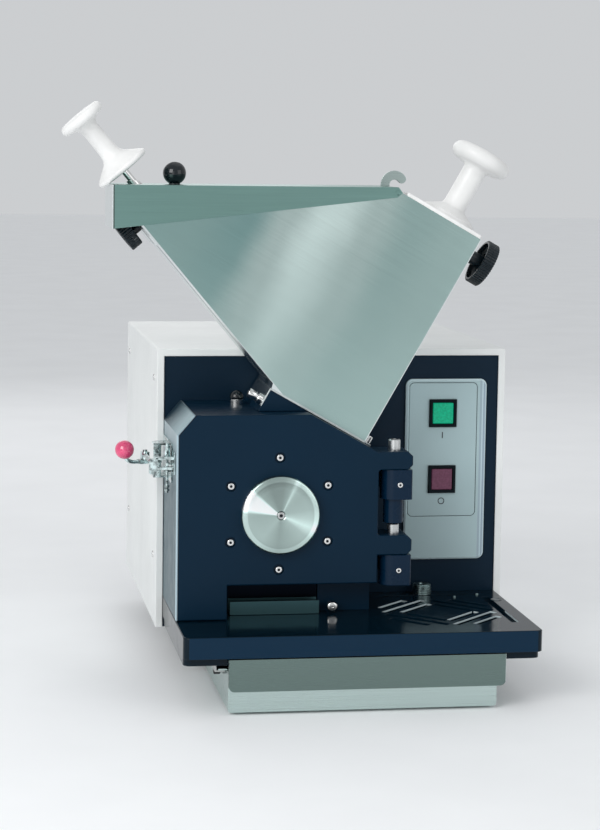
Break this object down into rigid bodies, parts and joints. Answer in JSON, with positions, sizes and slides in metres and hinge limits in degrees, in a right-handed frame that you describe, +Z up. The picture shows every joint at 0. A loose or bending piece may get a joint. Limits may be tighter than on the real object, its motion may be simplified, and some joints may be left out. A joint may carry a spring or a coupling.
{
  "type": "cutting mill",
  "caption": "Benchtop cutting mill with a tilted stainless hopper, hinged chamber door, push-button panel and collecting drawer.",
  "frame": {"origin": "middle of the bounding box's footprint, on the bench", "axes": "+Z up, the control panel and drawer face -Y, the hinge side is +X"},
  "size_m": [0.5126, 0.578, 0.6388],
  "materials": {
    "white_enamel": "satin",
    "blue_enamel": "satin",
    "navy_enamel": "satin",
    "black_gloss": "gloss",
    "stainless": "brushed",
    "bright_steel": "polished",
    "zinc_steel": "satin",
    "black_plastic": "matte",
    "grey_plastic": "matte",
    "white_plastic": "satin",
    "pink_plastic": "gloss",
    "green_plastic": "gloss",
    "red_plastic": "gloss",
    "black_rubber": "matte",
    "cast_iron": "matte"
  },
  "bodies": {
    "base": {"housing_shell": "white_enamel", "base_pan": "zinc_steel", "front_panel": "blue_enamel", "rear_panel": "blue_enamel", "power_inlet": "black_plastic", "feet": "black_rubber", "table_plate": "black_gloss", "chamber_block": "navy_enamel", "hinge_bracket_upper": "navy_enamel", "hinge_bracket_lower": "navy_enamel", "hinge_screws": "zinc_steel", "bearing_housing": "cast_iron", "spindle_bearings": "bright_steel", "drive_belt": "black_rubber", "motor": "cast_iron", "motor_bracket": "zinc_steel", "fixed_knives": "bright_steel", "sieve_cassette": "stainless", "cassette_screw": "bright_steel", "hopper": "stainless", "hopper_clamp_screw": "bright_steel", "hopper_flange_screw": "bright_steel", "lid_rivets": "stainless", "channel_cover": "white_plastic", "control_bezel": "grey_plastic", "start_frame": "black_plastic", "stop_frame": "black_plastic", "drawer_rails": "zinc_steel", "drawer_glides": "black_rubber", "latch_bracket": "bright_steel", "dome_stud": "black_plastic", "table_stud": "zinc_steel", "housing_screws": "bright_steel"},
    "door": {"chamber_door": "navy_enamel", "cover_disc": "bright_steel", "disc_screw": "zinc_steel", "door_screws": "bright_steel", "hinge_pins": "bright_steel", "latch_catch": "bright_steel"},
    "lid": {"lid": "stainless", "rod_guide": "bright_steel", "lid_knob": "black_plastic", "lid_hook": "stainless"},
    "left_plunger": {"left_plunger_handle": "white_plastic", "left_plunger_rod": "stainless"},
    "right_plunger": {"right_plunger": "white_plastic"},
    "right_knob": {"right_knob": "black_plastic"},
    "left_knob": {"left_knob": "black_plastic"},
    "drawer": {"drawer": "stainless"},
    "start_button": {"start_button": "green_plastic"},
    "stop_button": {"stop_button": "red_plastic"},
    "rotor": {"rotor": "bright_steel", "rotor_bolt": "zinc_steel", "spindle": "bright_steel", "spindle_pulley": "cast_iron"},
    "motor_rotor": {"motor_shaft": "bright_steel", "motor_pulley": "cast_iron"},
    "latch_lever": {"latch_lever": "bright_steel", "latch_ball": "pink_plastic"},
    "latch_bar": {"latch_bar": "bright_steel"}
  },
  "joints": [
    {"name": "door_hinge", "type": "hinge", "parent": "base", "child": "door", "pos_m": [0.10165, -0.197, 0.2], "axis": [0, 0, 1], "range_deg": [0, 100]},
    {"name": "lid_hinge", "type": "hinge", "parent": "base", "child": "lid", "pos_m": [0.10265, -0.135, 0.5435], "axis": [0, 1, 0], "range_deg": [0, 38]},
    {"name": "left_plunger_slide", "type": "slide", "parent": "lid", "child": "left_plunger", "axis": [-0.6428, 0, 0.766], "range_m": [0, 0.05]},
    {"name": "right_plunger_slide", "type": "slide", "parent": "base", "child": "right_plunger", "axis": [0.4924, 0, 0.8704], "range_m": [0, 0.12]},
    {"name": "right_knob_turn", "type": "hinge", "parent": "base", "child": "right_knob", "pos_m": [0.18785, -0.135, 0.47827], "axis": [0.8704, 0, -0.4924], "continuous": true},
    {"name": "left_knob_turn", "type": "hinge", "parent": "base", "child": "left_knob", "pos_m": [-0.17038, -0.135, 0.5048], "axis": [-0.766, 0, -0.6428], "continuous": true},
    {"name": "drawer_slide", "type": "slide", "parent": "base", "child": "drawer", "axis": [0, -1, 0], "range_m": [0, 0.14]},
    {"name": "start_button_press", "type": "slide", "parent": "base", "child": "start_button", "axis": [0, 1, 0], "range_m": [0, 0.003], "stiffness_N_per_m": 400},
    {"name": "stop_button_press", "type": "slide", "parent": "base", "child": "stop_button", "axis": [0, 1, 0], "range_m": [0, 0.003], "stiffness_N_per_m": 400},
    {"name": "rotor_spin", "type": "hinge", "parent": "base", "child": "rotor", "pos_m": [-0.02585, -0.141, 0.2003], "axis": [0, 1, 0], "continuous": true},
    {"name": "motor_spin", "type": "hinge", "parent": "base", "child": "motor_rotor", "pos_m": [0.13315, 0.043, 0.166], "axis": [0, 1, 0], "continuous": true},
    {"name": "latch_swing", "type": "hinge", "parent": "base", "child": "latch_lever", "pos_m": [-0.14885, -0.118, 0.253], "axis": [0, 0, -1], "range_deg": [0, 75]},
    {"name": "latch_bar_pivot", "type": "hinge", "parent": "latch_lever", "child": "latch_bar", "pos_m": [-0.16204, -0.1227, 0.253], "axis": [0, 0, -1], "range_deg": [-75, 0]}
  ],
  "couplings": [
    {"joint": "motor_spin", "follows": "rotor_spin", "ratio": 1.6316},
    {"joint": "latch_bar_pivot", "follows": "latch_swing", "ratio": -1}
  ]
}
